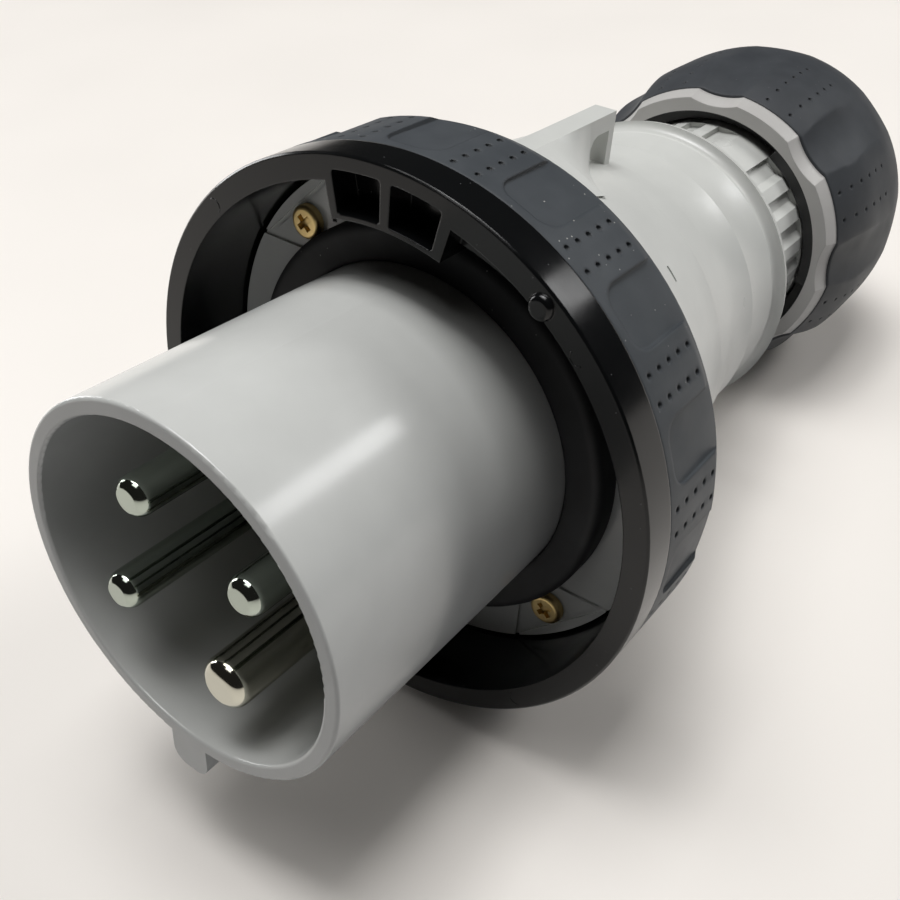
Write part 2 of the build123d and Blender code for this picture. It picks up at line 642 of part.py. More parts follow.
def fluted(body, extra=0.0):
    """Cuts the nut's eight shallow flutes into a body with a ring-shaped cutter."""
    height, radius, bottom = flute_path()
    tool = Pos(0, radius - extra, height) * Rot(0, 90, 0) * Torus(bottom + FLUTE_RADIUS, FLUTE_RADIUS)
    for index in range(LOBE_COUNT):
        body -= Rot(0, 0, FIRST_LOBE + index * 360 / LOBE_COUNT) * tool
    return body


def gland_nut():
    """Light nut of the cable gland: lobed flange with pawls, threaded bore, room for the cage, end cone."""
    body = turned(
        (NUT_MOUTH, NUT_FACE),
        (NUT_FACE_RADIUS, NUT_FACE),
        (NUT_FLANGE_RADIUS, NUT_BACK),
        (HUB_RADIUS, NUT_BACK),
        (HUB_RADIUS, HUB_SHOULDER),
        (HUB_END_RADIUS, HUB_END),
        (CABLE_HOLE, HUB_END),
        (CABLE_HOLE, THRUST_SEAT),
        (NUT_ROOM, THRUST_SEAT),
        (NUT_ROOM, THREAD_BORE_START + NUT_THREAD_LENGTH),
        (THREAD_BORE, THREAD_BORE_START + NUT_THREAD_LENGTH),
        (THREAD_BORE, THREAD_BORE_START),
        (NUT_MOUTH, THREAD_BORE_START),
    )
    for start, end in PAWL_CLOCKS:
        body += sector(PAWL_RADIUS, NUT_MOUTH + 1, NUT_FACE, THREAD_BORE_START, start, end)
    return fluted(body, FLANGE_FLUTE_EXTRA)


def nut_grip():
    """Dark domed cover of the gland nut, fluted like the flange in front of it."""
    dome_end = DOME_CENTRE + math.sqrt(CAP_RADIUS**2 - CAP_HOLE**2)
    waist = (NUT_BACK + CAP_BULGE) / 2
    belly = CAP_RADIUS - (CAP_RADIUS - CAP_FRONT_RADIUS) * CAP_BELLY
    slant = math.radians(DOME_SLANT)
    outline = [
        ThreePointArc((0, CAP_FRONT_RADIUS, NUT_BACK), (0, belly, waist), (0, CAP_RADIUS, CAP_BULGE)),
        Line((0, CAP_RADIUS, CAP_BULGE), (0, CAP_RADIUS, DOME_CENTRE)),
        ThreePointArc(
            (0, CAP_RADIUS, DOME_CENTRE),
            (0, CAP_RADIUS * math.cos(slant), DOME_CENTRE + CAP_RADIUS * math.sin(slant)),
            (0, CAP_HOLE, dome_end),
        ),
    ]
    outline += Polyline(
        (0, CAP_HOLE, dome_end),
        (0, CAP_HOLE, HUB_END + SKIN_GAP),
        (0, HUB_END_RADIUS + SKIN_GAP, HUB_END + SKIN_GAP),
        (0, HUB_RADIUS + SKIN_GAP, HUB_SHOULDER + SKIN_GAP),
        (0, HUB_RADIUS + SKIN_GAP, NUT_BACK),
        (0, CAP_FRONT_RADIUS, NUT_BACK),
    ).edges()
    return fluted(revolve(make_face(Wire(outline)), Axis.Z))


def thrust_ring():
    """Sliding washer in the end of the nut, which pushes on the cage without turning it."""
    front = THRUST_SEAT - THRUST_THICKNESS
    return turned(
        (THRUST_HOLE + THRUST_THICKNESS, front),
        (NUT_ROOM - SLIP, front),
        (NUT_ROOM - SLIP, THRUST_SEAT),
        (THRUST_HOLE, THRUST_SEAT),
    )


def clamp_cage():
    """Slotted cage that closes on the cable when the nut pushes its fingers together."""
    rim = NECK_END + CAGE_FLANGE
    cage = turned(
        (CAGE_FOOT_RADIUS - CAGE_WALL, NECK_END),
        (CAGE_FLANGE_RADIUS, NECK_END),
        (CAGE_FLANGE_RADIUS, rim),
        (CAGE_FOOT_RADIUS, rim),
        (CAGE_TIP_RADIUS, CAGE_END),
        (CAGE_TIP_RADIUS - CAGE_WALL, CAGE_END),
        (CAGE_FOOT_RADIUS - CAGE_WALL, rim),
    )
    slot = Pos(0, CAGE_FOOT_RADIUS, rim + CAGE_END / 2) * Box(CAGE_SLOT, CAGE_FOOT_RADIUS, CAGE_END)
    for index in range(CAGE_SLOTS):
        cage -= Rot(0, 0, index * 360 / CAGE_SLOTS) * slot
    return cage


def grommet():
    """Rubber sleeve in the neck that seals on the cable, stepped at its outer end for thin cables."""
    return turned(
        (GROMMET_BORE, GROMMET_STOP),
        (NECK_BORE - SLIP, GROMMET_STOP),
        (NECK_BORE - SLIP, NECK_END),
        (GROMMET_BORE + 2 * GROMMET_GROOVE, NECK_END),
        (GROMMET_BORE + 2 * GROMMET_GROOVE, NECK_END - 2 * GROMMET_GROOVE),
        (GROMMET_BORE + GROMMET_GROOVE, NECK_END - 2 * GROMMET_GROOVE),
        (GROMMET_BORE + GROMMET_GROOVE, NECK_END - 4 * GROMMET_GROOVE),
        (GROMMET_BORE, NECK_END - 4 * GROMMET_GROOVE),
    )


def lobe_edge(height):
    """Distance from the axis of the plane through two grip edges of the dome, at one height."""
    middle, radius, bottom = flute_path()
    valley = radius + math.sqrt(bottom**2 - (height - middle) ** 2)
    centre = valley + FLUTE_RADIUS
    dome = CAP_RADIUS**2 - (height - DOME_CENTRE) ** 2
    return (dome + centre**2 - FLUTE_RADIUS**2) / (2 * centre)


def laid_down(pieces):
    """Turns every piece from the plug's axis to how the plug lies, with its lowest point at height 0."""
    drop = math.degrees(math.atan2(RING_RADIUS - lobe_edge(NUT_CONTACT), NUT_CONTACT - RING_CONTACT))
    slope = math.radians(drop)
    lying = Plane(origin=(0, 0, 0), x_dir=(0, 1, 0), z_dir=(math.cos(slope), 0, -math.sin(slope)))
    turned_pieces = {name: lying.location * Rot(0, 0, REST_ROLL) * shape for name, shape in pieces.items()}
    box = Compound(children=[Compound(shape.solids()) for shape in turned_pieces.values()]).bounding_box()
    home = Pos(-box.center().X, -box.center().Y, -box.min.Z)
    print("tilt", drop, "shift", home.position, "size", box.size)
    return {name: home * shape for name, shape in turned_pieces.items()}


def group(shapes):
    """Several separate solids as one piece."""
    return Compound([shape.solid() for shape in shapes])


pieces = {
    "shroud": shroud(),
    "face_gasket": face_gasket(),
    "flange_seal": flange_seal(),
    "flange_screws": group(flange_screws()),
    "contact_carrier": contact_carrier(),
    "contact_retainer": contact_retainer(),
    "retainer_screws": group(retainer_screws()),
    "terminal_screws": group(terminal_screws()),
    "coupling_ring": coupling_ring(),
    "ring_grip": ring_grip(),
    "housing": housing(),
    "gland_nut": gland_nut(),
    "nut_grip": nut_grip(),
    "thrust_ring": thrust_ring(),
    "clamp_cage": clamp_cage(),
    "grommet": grommet(),
}
for name, diameter, clock in pins():
    pieces[name] = contact_in_place(diameter, clock)

for name, shape in laid_down(pieces).items():
    export_step(shape, f"parts/{name}.step")
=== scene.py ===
# %% [markdown]
# # An industrial plug
#
# This lesson dresses the CAD model of a 32 A industrial plug. The CAD parts are already in
# their places, so the work here is the finish of each part, the small moulded details that
# are too fine for CAD, the light and the camera.
#
# The first cell loads the parts. They come in metres, each with its object at the origin.

import json
import math

import bpy
from mathutils import Matrix, Vector


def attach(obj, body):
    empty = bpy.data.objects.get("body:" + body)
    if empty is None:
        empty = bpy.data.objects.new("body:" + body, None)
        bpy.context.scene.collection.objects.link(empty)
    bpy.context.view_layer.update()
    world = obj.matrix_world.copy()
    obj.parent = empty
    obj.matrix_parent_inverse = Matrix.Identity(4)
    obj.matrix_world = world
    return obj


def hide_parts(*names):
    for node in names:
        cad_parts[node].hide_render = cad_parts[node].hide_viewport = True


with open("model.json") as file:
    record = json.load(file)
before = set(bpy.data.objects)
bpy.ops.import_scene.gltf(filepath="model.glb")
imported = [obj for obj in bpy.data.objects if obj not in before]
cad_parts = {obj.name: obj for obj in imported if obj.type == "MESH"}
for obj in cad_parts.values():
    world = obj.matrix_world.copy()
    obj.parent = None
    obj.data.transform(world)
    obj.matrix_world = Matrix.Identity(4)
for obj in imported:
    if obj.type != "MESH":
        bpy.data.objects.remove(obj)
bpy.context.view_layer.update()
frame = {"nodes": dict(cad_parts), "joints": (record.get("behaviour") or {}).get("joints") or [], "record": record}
nodes = frame["nodes"]
MM = 0.001
print("parts:", len(nodes))

# %% [markdown]
# ## The plug's own axis
#
# The plug lies on its ring and on its gland nut, so its axis isn't level. The ring's joint
# gives that axis, and the eye of the lug gives the direction that was moulded upwards. With
# both, a place can be named as on a drawing: a radius, a clock angle from the lug as seen
# from the mouth, and a distance from the mouth's rim. The ring's joint is 53 mm behind it.

# %% A matrix for the plug
RING_PLACE = 53.0

joints = {joint["name"]: joint for joint in frame["joints"]}
mounts = {mount["name"]: mount for mount in frame["record"]["mounts"]}
axis = Vector(joints["ring_turn"]["axis"]).normalized()
rim = Vector(joints["ring_turn"]["pos_m"]) - axis * RING_PLACE * MM
eye = Vector(mounts["tether_eye"]["pos_m"]) - rim
up = (eye - axis * eye.dot(axis)).normalized()
side = up.cross(axis)
plug = Matrix.Translation(rim) @ Matrix((side, up, axis)).transposed().to_4x4()


def clock_turn(clock):
    """A turn about the plug's axis, in degrees from the lug."""
    return Matrix.Rotation(math.radians(clock), 4, "Z")


print("rim at", [round(value / MM, 1) for value in rim])

# %% [markdown]
# ## Helpers for finishes
#
# Every finish below is a small net of nodes. `linear` turns the hex value of a colour, as a
# painter's chart gives it, into the linear numbers that Blender computes with. `add_node`
# puts one node into a net with its settings and links, and `computed` does so for a sum.
# `finish_for` starts a material and returns its shader. Patterns read object coordinates in
# metres, so `per_mm` gives the scale for a pattern of a real size.


# %% Colour, nodes and scale
def linear(hex_colour):
    """Linear RGBA from an sRGB hex colour."""
    channels = [int(hex_colour[place : place + 2], 16) / 255 for place in (1, 3, 5)]
    straight = [c / 12.92 if c <= 0.04045 else ((c + 0.055) / 1.055) ** 2.4 for c in channels]
    return (*straight, 1.0)


def add_node(net, kind, settings=None, **links):
    """Adds a node; links name its inputs, with _ for a space, and give a value or an output."""
    made = net.nodes.new(kind)
    for name, value in (settings or {}).items():
        setattr(made, name, value)
    for name, source in links.items():
        socket = made.inputs[int(name[1:]) if name[1:].isdigit() else name.replace("_", " ")]
        if isinstance(source, bpy.types.NodeSocket):
            net.links.new(source, socket)
        else:
            socket.default_value = source
    return made


def computed(net, operation, first, second):
    """The result of one sum, product or comparison."""
    made = add_node(net, "ShaderNodeMath", {"operation": operation}, _0=first, _1=second)
    return made.outputs[0]


def per_mm(size):
    """The scale of a pattern whose features are about this many millimetres wide."""
    return 1 / (size * MM)


def finish_for(name):
    """A new material with an empty net, its shader and its object coordinates."""
    material = bpy.data.materials.new(name)
    material.use_nodes = True
    net = material.node_tree
    net.nodes.clear()
    shader = add_node(net, "ShaderNodeBsdfPrincipled")
    add_node(net, "ShaderNodeOutputMaterial", Surface=shader.outputs["BSDF"])
    place = add_node(net, "ShaderNodeTexCoord").outputs["Object"]
    print("finish:", name)
    return material, net, shader, place


# %% [markdown]
# Four patterns come back in nearly every finish. `varied` is a slow noise of a real size
# between two numbers, for colour and shine that are never quite even. `mixed` blends two
# colours by such a number. `grained` is the relief of the mould: a fine noise as bump, on
# top of edges that a bevel node can round a little, because no mould leaves a sharp edge. The
# long thin triangles of the tube and the housing show marks under a bevel node, so their
# edges are only those of the CAD model. `specks` draws small round spots of dust. Blender's
# noise hardly ever leaves the span from 0.3 to 0.7.

# %% Patterns
NOISE_LOW = 0.3
NOISE_HIGH = 0.7
RELIEF_STRENGTH = 0.5
BEVEL_SAMPLES = 6


def varied(net, place, size, low, high, detail=3.0):
    """A slow noise of a real size that runs between two numbers."""
    noise = add_node(net, "ShaderNodeTexNoise", Vector=place, Scale=per_mm(size), Detail=detail)
    span = {"From_Min": NOISE_LOW, "From_Max": NOISE_HIGH, "To_Min": low, "To_Max": high}
    spread = add_node(net, "ShaderNodeMapRange", Value=noise.outputs["Fac"], **span)
    return spread.outputs["Result"]


def mixed(net, share, first, second):
    """The colour between two others; share is 0 for the first and 1 for the second."""
    blend = add_node(net, "ShaderNodeMix", {"data_type": "RGBA"}, _0=share, _6=first, _7=second)
    return blend.outputs[2]


def grained(net, place, size, height, edge=0.0):
    """A normal with a fine grain, and with rounded edges where edge gives their radius."""
    noise = add_node(net, "ShaderNodeTexNoise", Vector=place, Scale=per_mm(size), Detail=2.0)
    relief = {"Height": noise.outputs["Fac"], "Strength": RELIEF_STRENGTH, "Distance": height * MM}
    if edge > 0:
        rounded = add_node(net, "ShaderNodeBevel", {"samples": BEVEL_SAMPLES}, Radius=edge * MM)
        relief["Normal"] = rounded.outputs["Normal"]
    return add_node(net, "ShaderNodeBump", **relief).outputs["Normal"]


def specks(net, place, spacing, width, share):
    """1 on small round specks and 0 between them; share is how many cells hold one."""
    cells = add_node(net, "ShaderNodeTexVoronoi", Vector=place, Scale=per_mm(spacing))
    near = computed(net, "LESS_THAN", cells.outputs["Distance"], width / spacing)
    chance = add_node(net, "ShaderNodeSeparateColor", Color=cells.outputs["Color"])
    kept = computed(net, "LESS_THAN", chance.outputs["Red"], share)
    return computed(net, "MULTIPLY", near, kept)


# %% [markdown]
# ## Light grey polyamide
#
# The mouth tube, the housing and the nut are moulded from glass-filled polyamide. The steel
# mould was polished to a satin, so the surface has a very fine grain and a soft shine in
# which a window still keeps its outline. A little cloudiness in the colour and in the shine
# keeps it from looking like paint. The grain is drawn at 0.35 mm, a few times its real size,
# because the real one would not show.
#
# The gap between the nut's mouth and the neck lies in deep shadow, so the nut is painted
# black inside its mouth: a painted shade. A mapping node lays the coordinates along the plug's
# axis, where the distance from that axis is the length of X and Y.


# %% What lies near the plug's axis
def inside(net, place, radius):
    """1 nearer to the plug's axis than a radius in millimetres, 0 outside it."""
    back = plug.inverted()
    turned = add_node(net, "ShaderNodeMapping", {"vector_type": "POINT"}, Vector=place)
    turned.inputs["Location"].default_value = back.to_translation()
    turned.inputs["Rotation"].default_value = back.to_euler()
    multiply = {"operation": "MULTIPLY"}
    flat = add_node(net, "ShaderNodeVectorMath", multiply, _0=turned.outputs[0], _1=(1, 1, 0))
    length = add_node(net, "ShaderNodeVectorMath", {"operation": "LENGTH"}, _0=flat.outputs[0])
    return computed(net, "LESS_THAN", length.outputs["Value"], radius * MM)


# %% Light grey polyamide
CLOUD_SHADE = 0.94
# Painted shade: the black inside the nut's mouth.
PAINTED_SHADE_BLACK = "#1b1b1c"
NUT_MOUTH = 27.1
NUT_MOUTH_EDGE = 0.15


def grey_polyamide(name, tone, roughness, edge=0.0, painted_shade_radius=0.0):
    """A cloudy plastic; within a given radius of the plug's axis it is painted black as painted shade."""
    material, net, shader, place = finish_for(name)
    shade = tuple(CLOUD_SHADE * c for c in linear(tone)[:3]) + (1.0,)
    cloudy = mixed(net, varied(net, place, 9.0, 0.0, 1.0), linear(tone), shade)
    # Painted shade: black near the axis, inside the nut's mouth, where shadow falls.
    if painted_shade_radius > 0:
        cloudy = mixed(net, inside(net, place, painted_shade_radius), cloudy, linear(PAINTED_SHADE_BLACK))
    net.links.new(cloudy, shader.inputs["Base Color"])
    shine = varied(net, place, 14.0, roughness, roughness + 0.06)
    net.links.new(shine, shader.inputs["Roughness"])
    net.links.new(grained(net, place, 0.35, 0.004, edge), shader.inputs["Normal"])
    shader.inputs["IOR"].default_value = 1.53
    return material


tube_grey = grey_polyamide("satin_tube_grey_polyamide", "#cbccc9", 0.17)
housing_grey = grey_polyamide("moulded_light_grey_polyamide", "#cfd0cc", 0.27)
# The nut is painted black inside its mouth as painted shade.
gland_grey = grey_polyamide(
    "moulded_gland_grey_polyamide", "#bdbbb8", 0.36, edge=0.3, painted_shade_radius=NUT_MOUTH + NUT_MOUTH_EDGE
)

# %% [markdown]
# ## Black polyamide
#
# The coupling ring comes out of a polished mould, so its black is glossy enough to mirror
# the room, with the fine dust that any glossy black shows. The insert that holds the pins is
# the same black from a duller mould.

# %% Black polyamide
FINE_DUST = "#5a5b5c"


def black_polyamide(name, tone, roughness, spread):
    """A black plastic with fine dust; spread is how much duller it is in places."""
    material, net, shader, place = finish_for(name)
    dust = specks(net, place, 1.6, 0.09, 0.35)
    net.links.new(mixed(net, dust, linear(tone), linear(FINE_DUST)), shader.inputs["Base Color"])
    shine = varied(net, place, 6.0, roughness, roughness + spread)
    net.links.new(shine, shader.inputs["Roughness"])
    net.links.new(grained(net, place, 0.8, 0.003, 0.3), shader.inputs["Normal"])
    shader.inputs["IOR"].default_value = 1.5
    shader.inputs["Specular IOR Level"].default_value = 0.36
    return material


ring_black = black_polyamide("polished_black_polyamide", "#0e0f10", 0.13, 0.08)
insert_black = black_polyamide("moulded_black_insert", "#151617", 0.42, 0.1)

# %% [markdown]
# ## Soft grip and rubber
#
# The grip on the ring and the nut's cover are a soft slate-grey elastomer: no gloss, a fine
# leathery grain and a faint bloom where hands have touched it. What faces up has caught pale
# dust. How high a point lies is read from the object coordinates, so the dust turns with the
# ring. The gaskets are a darker rubber of the same kind.

# %% Soft elastomer
DUST_FLOOR = 62.0
DUST_TOP = 90.0
PALE_DUST = "#b9b8b3"


def elastomer(name, tone, bloom, roughness):
    """A soft rubber; bloom is its colour where it was touched."""
    material, net, shader, place = finish_for(name)
    touch = varied(net, place, 5.0, 0.0, 1.0, detail=5.0)
    worn = mixed(net, touch, linear(tone), linear(bloom))
    height = add_node(net, "ShaderNodeSeparateXYZ", Vector=place).outputs["Z"]
    high = {"From_Min": DUST_FLOOR * MM, "From_Max": DUST_TOP * MM}
    lift = add_node(net, "ShaderNodeMapRange", Value=height, **high).outputs["Result"]
    fallen = computed(net, "MULTIPLY", lift, specks(net, place, 1.3, 0.11, 0.3))
    net.links.new(mixed(net, fallen, worn, linear(PALE_DUST)), shader.inputs["Base Color"])
    shine = varied(net, place, 8.0, roughness, roughness + 0.1)
    net.links.new(shine, shader.inputs["Roughness"])
    net.links.new(grained(net, place, 0.4, 0.012, 0.8), shader.inputs["Normal"])
    shader.inputs["IOR"].default_value = 1.47
    return material


grip_slate = elastomer("soft_slate_elastomer", "#3c4044", "#43474b", 0.5)
cover_slate = elastomer("nut_cover_slate_elastomer", "#33363a", "#3a3d41", 0.52)
gasket_rubber = elastomer("black_gasket_rubber", "#1c1d1f", "#26272a", 0.62)

# %% [markdown]
# ## Metals
#
# The pins are brass turned on a lathe and plated with nickel, so they mirror the room with a
# warm tint. The line pins are tinted a little greener and darker, a painted reflection of the
# greenish light they mirror. Their small screws are zinc-plated steel, and the two flange
# screws are bare brass. A little variation in roughness stands for finger marks.


# %% Plated and bare metals
def turned_metal(name, tone, roughness, spread):
    """A bright metal; spread is how much duller it is in places."""
    material, net, shader, place = finish_for(name)
    shader.inputs["Base Color"].default_value = linear(tone)
    shader.inputs["Metallic"].default_value = 1.0
    shine = varied(net, place, 2.5, roughness, roughness + spread)
    net.links.new(shine, shader.inputs["Roughness"])
    net.links.new(grained(net, place, 0.25, 0.001, 0.15), shader.inputs["Normal"])
    return material


# Painted reflection: the line pins' greener tint stands for the greenish light they mirror.
line_nickel_painted_reflection = turned_metal("nickel_plated_line_pins", "#b3bbb0", 0.07, 0.05)
earth_nickel = turned_metal("nickel_plated_earth_pin", "#cac8ba", 0.07, 0.05)
screw_brass = turned_metal("bare_screw_brass", "#e2c88d", 0.34, 0.12)
screw_zinc = turned_metal("zinc_plated_steel", "#bfc2c4", 0.3, 0.1)

# %% [markdown]
# ## White nylon
#
# The clamp cage and its thrust ring inside the gland are natural nylon, milky and slightly
# shiny.

# %% White nylon
cage_nylon = grey_polyamide("natural_white_nylon", "#dcdad0", 0.4)

# %% [markdown]
# ## Finishes on the CAD parts
#
# Each CAD part keeps its mesh and gets its finish in its material slot.

# %% Give each part its finish
finishes = {
    tube_grey: ("shroud",),
    housing_grey: ("housing",),
    gland_grey: ("gland_nut",),
    ring_black: ("coupling_ring",),
    insert_black: ("contact_carrier", "contact_retainer"),
    grip_slate: ("ring_grip",),
    cover_slate: ("nut_grip",),
    gasket_rubber: ("face_gasket", "flange_seal", "grommet"),
    line_nickel_painted_reflection: ("line_pin_1", "line_pin_2", "line_pin_3"),
    earth_nickel: ("earth_pin",),
    screw_brass: ("flange_screws",),
    screw_zinc: ("terminal_screws", "retainer_screws"),
    cage_nylon: ("clamp_cage", "thrust_ring"),
}
for material, names in finishes.items():
    for name in names:
        nodes[name].data.materials.clear()
        nodes[name].data.materials.append(material)
print("finished parts:", sum(len(names) for names in finishes.values()))

# %% [markdown]
# ## Tools for new pieces
#
# New pieces are modelled as by hand: a primitive is added, shaped in edit mode and finished
# with modifiers. These few helpers keep that short. Whatever was selected before is always
# deselected first. A copy of a CAD part is welded, because it comes as loose triangles.

# %% Select, weld and apply
WELD_DISTANCE = 0.002


def deselect():
    bpy.ops.object.select_all(action="DESELECT")


def only(piece):
    """Makes one piece the selected and active object."""
    deselect()
    piece.select_set(True)
    bpy.context.view_layer.objects.active = piece


def welded_copy(node, name):
    """A copy of a CAD part whose loose triangles are joined into one closed skin."""
    piece = bpy.data.objects.new(name, nodes[node].data.copy())
    bpy.context.scene.collection.objects.link(piece)
    only(piece)
    bpy.ops.object.mode_set(mode="EDIT")
    bpy.ops.mesh.select_all(action="SELECT")
    bpy.ops.mesh.remove_doubles(threshold=WELD_DISTANCE * MM)
    bpy.ops.object.mode_set(mode="OBJECT")
    if piece.data.has_custom_normals:
        bpy.ops.mesh.customdata_custom_splitnormals_clear()
    print(name, "faces:", len(piece.data.polygons))
    return piece


def applied(piece, kind, **settings):
    """Adds a modifier to a piece and applies it."""
    only(piece)
    modifier = piece.modifiers.new(kind.lower(), kind)
    for name, value in settings.items():
        setattr(modifier, name, value)
    bpy.ops.object.modifier_apply(modifier=modifier.name)


# %% Repeat and smooth
SHARPEST_SMOOTH = 35.0


def placed_copies(master, places):
    """One object made of copies of a master at each place; the master is removed."""
    copies = []
    for place in places:
        twin = master.copy()
        twin.data = master.data.copy()
        twin.data.transform(place)
        bpy.context.scene.collection.objects.link(twin)
        copies.append(twin)
    bpy.data.objects.remove(master)
    deselect()
    for twin in copies:
        twin.select_set(True)
    bpy.context.view_layer.objects.active = copies[0]
    bpy.ops.object.join()
    return bpy.context.object


def smoothed(piece):
    """Shades a piece smooth, apart from its sharp edges."""
    only(piece)
    bpy.ops.object.shade_smooth_by_angle(angle=math.radians(SHARPEST_SMOOTH))


# %% [markdown]
# ## Dimples in the soft grip
#
# Each of the fifteen pads of the ring's grip has two rows of five blind dimples, and each
# land of the nut's cover two rows of six, so that a wet glove holds. They are too small for
# the CAD model. One peg with a rounded end is modelled, copied to each place, and all pegs
# together are taken away from a welded copy of the CAD part with a Boolean modifier.
#
# The peg starts as a ten-sided cylinder. Its lower end is drawn in twice, which leaves a
# round bottom in the dimple with only a few dozen faces. Each draw has the share that the
# end keeps of its width, and how far it goes down as a share of the dimple's depth.

# %% A peg for dimples
PEG_SIDES = 10
PEG_LENGTH = 1.2
PEG_DRAWS = ((0.78, 0.25), (0.5, 0.15))


def dimple_peg(width, depth):
    """A peg around the origin that points down and reaches depth below it."""
    deselect()
    bpy.ops.mesh.primitive_cylinder_add(
        vertices=PEG_SIDES, radius=width / 2 * MM, depth=PEG_LENGTH * depth * MM
    )
    peg = bpy.context.object
    bpy.ops.object.mode_set(mode="EDIT")
    bpy.ops.mesh.select_mode(type="FACE")
    bpy.ops.mesh.select_all(action="DESELECT")
    bpy.ops.object.mode_set(mode="OBJECT")
    for face in peg.data.polygons:
        face.select = face.normal.z < -0.9
    bpy.ops.object.mode_set(mode="EDIT")
    for share, drop in PEG_DRAWS:
        down = {"value": (0, 0, -drop * depth * MM)}
        bpy.ops.mesh.extrude_region_move(TRANSFORM_OT_translate=down)
        bpy.ops.transform.resize(value=(share, share, 1.0))
    bpy.ops.object.mode_set(mode="OBJECT")
    return peg


# %% [markdown]
# A dimple starts where its peg meets the surface, and the nut's cover is domed, so each peg's
# place is found with a ray from outside to the plug's axis. The ray's hit gives the height of
# the surface there, and the peg stands along the radius as the pin of the mould does.

# %% Where the dimples go
RAY_START = 80


def surface_place(piece, clock, along):
    """A place on a piece's surface whose Z axis points straight away from the plug's axis."""
    far = plug @ clock_turn(clock) @ Vector((0, RAY_START * MM, along * MM))
    centre = plug @ Vector((0, 0, along * MM))
    spot = piece.ray_cast(far, (centre - far).normalized())[1]
    radius = (spot - centre).length
    place = Matrix.Translation((0, radius, along * MM)) @ Matrix.Rotation(math.radians(-90), 4, "X")
    return plug @ clock_turn(clock) @ place


def dimpled(piece, node, clocks, starts, width, depth):
    """Takes dimples from a piece at each clock angle and distance from the rim."""
    places = [surface_place(piece, clock, along) for clock in clocks for along in starts]
    pegs = placed_copies(dimple_peg(width, depth), places)
    applied(piece, "BOOLEAN", operation="DIFFERENCE", solver="EXACT", object=pegs)
    bpy.data.objects.remove(pegs)
    smoothed(piece)
    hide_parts(node)
    print(piece.name, "dimples:", len(places), "faces:", len(piece.data.polygons))


# %% Dimples in the ring's grip
PAD_COUNT = 15
FIRST_PAD = 9.1
PAD_ROWS = (-2.5, 2.5)
PAD_DIMPLE = {"width": 1.0, "depth": 0.45}
FIRST_PAD_DOT = 49.8
PAD_DOT_STEP = 2.75

pads = [FIRST_PAD + 360 / PAD_COUNT * number for number in range(PAD_COUNT)]
pad_clocks = [pad + row for pad in pads for row in PAD_ROWS]
pad_dots = [FIRST_PAD_DOT + PAD_DOT_STEP * number for number in range(5)]
ring_sleeve = welded_copy("ring_grip", "dimpled_ring_sleeve")
dimpled(ring_sleeve, "ring_grip", pad_clocks, pad_dots, **PAD_DIMPLE)
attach(ring_sleeve, "ring")

# %% [markdown]
# The eight flutes of the nut's cover run out on its dome, so that its widest part and its end
# are nearly round. The CAD flutes are as deep there as in front. Each point of a flute is
# therefore moved outwards, by a share that grows from nothing in front to nearly the whole
# depth on the dome. A ray at the middle of a land gives the radius of the dome. Only the
# outer skin moves, so points whose normal hardly faces outwards are left. The cover lies on
# the desk between two lands, and what would reach into the desk stays where it is.

# %% Flutes that run out
FIRST_LAND = 19.5
FADE_START = 168.0
FADE_END = 186.0
FLUTE_LEFT = 0.12
OUTER_SKIN = 0.2


def land_radius(along):
    """The radius of the cover at the middle of its first land."""
    centre = plug @ Vector((0, 0, along * MM))
    land = surface_place(nodes["nut_grip"], FIRST_LAND, along).to_translation()
    return (land - centre).length


def run_out(piece):
    """Fills the flutes of the cover on its dome."""
    back = plug.inverted()
    for point in piece.data.vertices:
        spot = back @ point.co
        radius = math.hypot(spot.x, spot.y)
        fade = (spot.z / MM - FADE_START) / (FADE_END - FADE_START)
        outwards = (back.to_3x3() @ point.normal).dot(Vector((spot.x, spot.y, 0)).normalized())
        if fade <= 0 or outwards < OUTER_SKIN:
            continue
        fade = min(fade, 1.0)
        share = (3 * fade**2 - 2 * fade**3) * (1 - FLUTE_LEFT)
        full = land_radius(spot.z / MM)
        if radius >= full:
            continue
        grown = radius + share * (full - radius)
        moved = plug @ Vector((spot.x * grown / radius, spot.y * grown / radius, spot.z))
        if moved.z > 0:
            point.co = moved


nut_cover = welded_copy("nut_grip", "dimpled_nut_cover")
run_out(nut_cover)

# %% Dimples in the nut's cover
FLUTE_COUNT = 8
LAND_ROWS = (-5.2, 5.2)
LAND_DIMPLE = {"width": 0.85, "depth": 0.4}
FIRST_LAND_DOT = 158.6
LAND_DOT_STEP = 3.75

lands = [FIRST_LAND + 360 / FLUTE_COUNT * number for number in range(FLUTE_COUNT)]
land_clocks = [land + row for land in lands for row in LAND_ROWS]
land_dots = [FIRST_LAND_DOT + LAND_DOT_STEP * number for number in range(6)]
dimpled(nut_cover, "nut_grip", land_clocks, land_dots, **LAND_DIMPLE)
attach(nut_cover, "nut")

# %% [markdown]
# ## Ejector marks on the ring
#
# The face of the coupling ring has three small half-round marks from the mould. A thin torus
# is cut in half, flattened and copied to its three places, half sunk in the face. A place
# has its clock angle, its radius and how the mark is turned there.

# %% A half-round mark
MARK_RADIUS = 1.1
MARK_THICKNESS = 0.3
MARK_FLATTENED = (1.0, 0.8, 0.5)
RING_FACE = 41.5
MARK_PLACES = ((-45.7, 45.5, 90.0), (45.8, 44.9, 180.0), (138.1, 45.5, 90.0))


